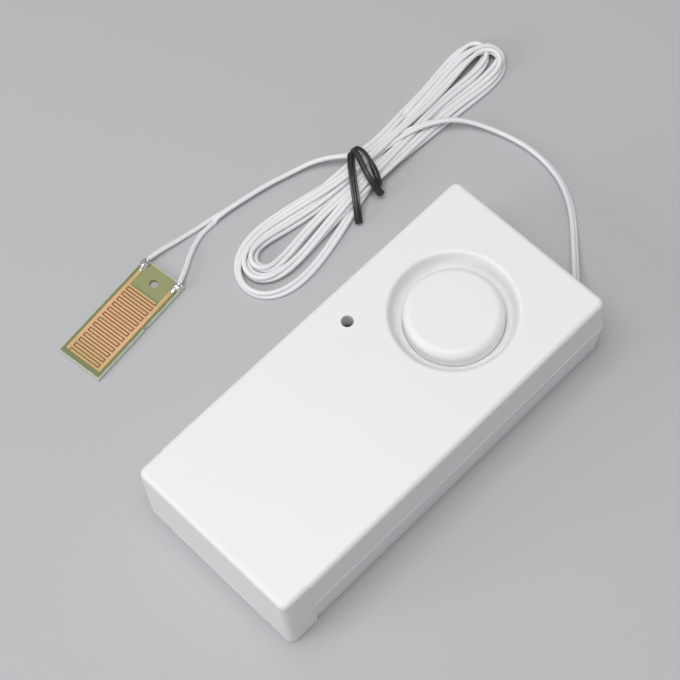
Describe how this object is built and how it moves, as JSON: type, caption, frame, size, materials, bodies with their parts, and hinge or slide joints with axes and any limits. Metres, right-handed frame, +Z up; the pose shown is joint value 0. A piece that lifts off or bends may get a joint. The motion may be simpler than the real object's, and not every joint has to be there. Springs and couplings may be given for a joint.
{
  "type": "water leak sensor",
  "caption": "White block-battery water leak alarm with a round siren and a comb-track probe on a thin twin cord folded into a tied hank.",
  "frame": {"origin": "middle of the case's rear face, on the surface that it stands on", "axes": "+X along the case towards the end where the cord leaves, +Y across it towards the side where the hank and probe lie, +Z up out of the siren's face"},
  "size_m": [0.1565, 0.1029, 0.024],
  "materials": {
    "case_plastic": "white moulded, fine satin",
    "cord_jacket": "white soft vinyl, satin",
    "tie_coating": "black coated wire, glossy",
    "probe_laminate": "olive glass-fibre laminate",
    "track_copper": "bare copper track, dull",
    "solder": "bright solder",
    "board_green": "green lacquered laminate",
    "plated_steel": "zinc plated",
    "plate_brass": "rolled brass",
    "piezo_ceramic": "silvered ceramic, dull",
    "lamp_lens": "tinted clear lens",
    "black_epoxy": "moulded epoxy",
    "coil_ferrite": "sintered ferrite",
    "capacitor_sleeve": "shrunk sleeve",
    "resistor_coat": "lacquered",
    "battery_jacket": "plain dark jacket",
    "pad_foam": "soft foam",
    "black_vinyl": "soft vinyl",
    "red_vinyl": "soft vinyl"
  },
  "bodies": {
    "housing": {"top_shell": "case_plastic", "bottom_shell": "case_plastic", "case_screws": "plated_steel", "siren_dome": "case_plastic", "siren_cup": "case_plastic", "piezo_plate": "plate_brass", "piezo_ceramic": "piezo_ceramic", "piezo_leads": "red_vinyl", "led_body": "lamp_lens", "led_legs": "plated_steel", "main_board": "board_green", "board_screws": "plated_steel", "control_chip": "black_epoxy", "chip_legs": "plated_steel", "drive_transistor": "black_epoxy", "boost_coil": "coil_ferrite", "filter_capacitor": "capacitor_sleeve", "resistors": "resistor_coat", "battery_cell": "battery_jacket", "battery_positive_stud": "plated_steel", "battery_negative_stud": "plated_steel", "battery_pad": "pad_foam", "snap_plate": "black_vinyl", "snap_contacts": "plated_steel", "battery_lead_red": "red_vinyl", "battery_lead_black": "black_vinyl", "cord_stop": "black_vinyl", "cord_inner": "cord_jacket", "cord_lead": "cord_jacket", "cord_hank": "cord_jacket", "cord_tail": "cord_jacket", "probe_wire_left": "cord_jacket", "probe_wire_right": "cord_jacket", "twist_tie": "tie_coating", "probe_board": "probe_laminate", "probe_track_left": "track_copper", "probe_track_right": "track_copper", "probe_solder": "solder"},
    "battery_door": {"battery_door": "case_plastic"}
  },
  "joints": [
    {"name": "battery_door_slide", "type": "slide", "parent": "housing", "child": "battery_door", "axis": [-1, 0, 0], "range_m": [0, 0.055]}
  ]
}
